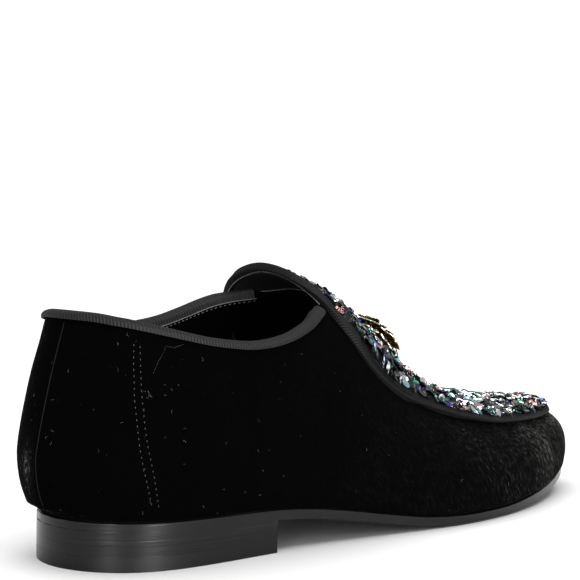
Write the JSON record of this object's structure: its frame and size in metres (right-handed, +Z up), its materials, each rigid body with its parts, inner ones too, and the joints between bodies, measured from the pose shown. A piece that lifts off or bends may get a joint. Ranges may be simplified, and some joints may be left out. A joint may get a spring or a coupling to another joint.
{
  "type": "loafer shoe",
  "caption": "Men's slip-on loafer with a velvet upper, a sequined plug and raised tongue in ribbon binding, a metal rosette and a low stacked heel.",
  "frame": {"origin": "middle of the heel's underside on the floor, halfway along the heel", "axes": "+X towards the toe, +Y towards the inner side of the foot, +Z up from the floor"},
  "size_m": [0.3084, 0.0998, 0.107],
  "materials": {
    "upper": "black velvet with a short nap",
    "plug": "dense sequins and beads in black, silver, aqua and blue",
    "plug_binding": "black ribbed ribbon",
    "topline_binding": "black ribbed ribbon",
    "outsole": "burnished edge, black",
    "heel_top_lift": "black, satin",
    "heel_lifts": "burnished, black",
    "insole": "black lining leather",
    "ornament_boss": "antique",
    "ornament_cabochon": "glossy black"
  },
  "bodies": {
    "root": {"upper": "upper", "plug": "plug", "plug_binding": "plug_binding", "topline_binding": "topline_binding", "outsole": "outsole", "heel_top_lift": "heel_top_lift", "heel_lift_lower": "heel_lifts", "heel_lift_upper": "heel_lifts", "insole": "insole", "ornament_boss": "ornament_boss", "ornament_cabochon": "ornament_cabochon"}
  },
  "joints": []
}
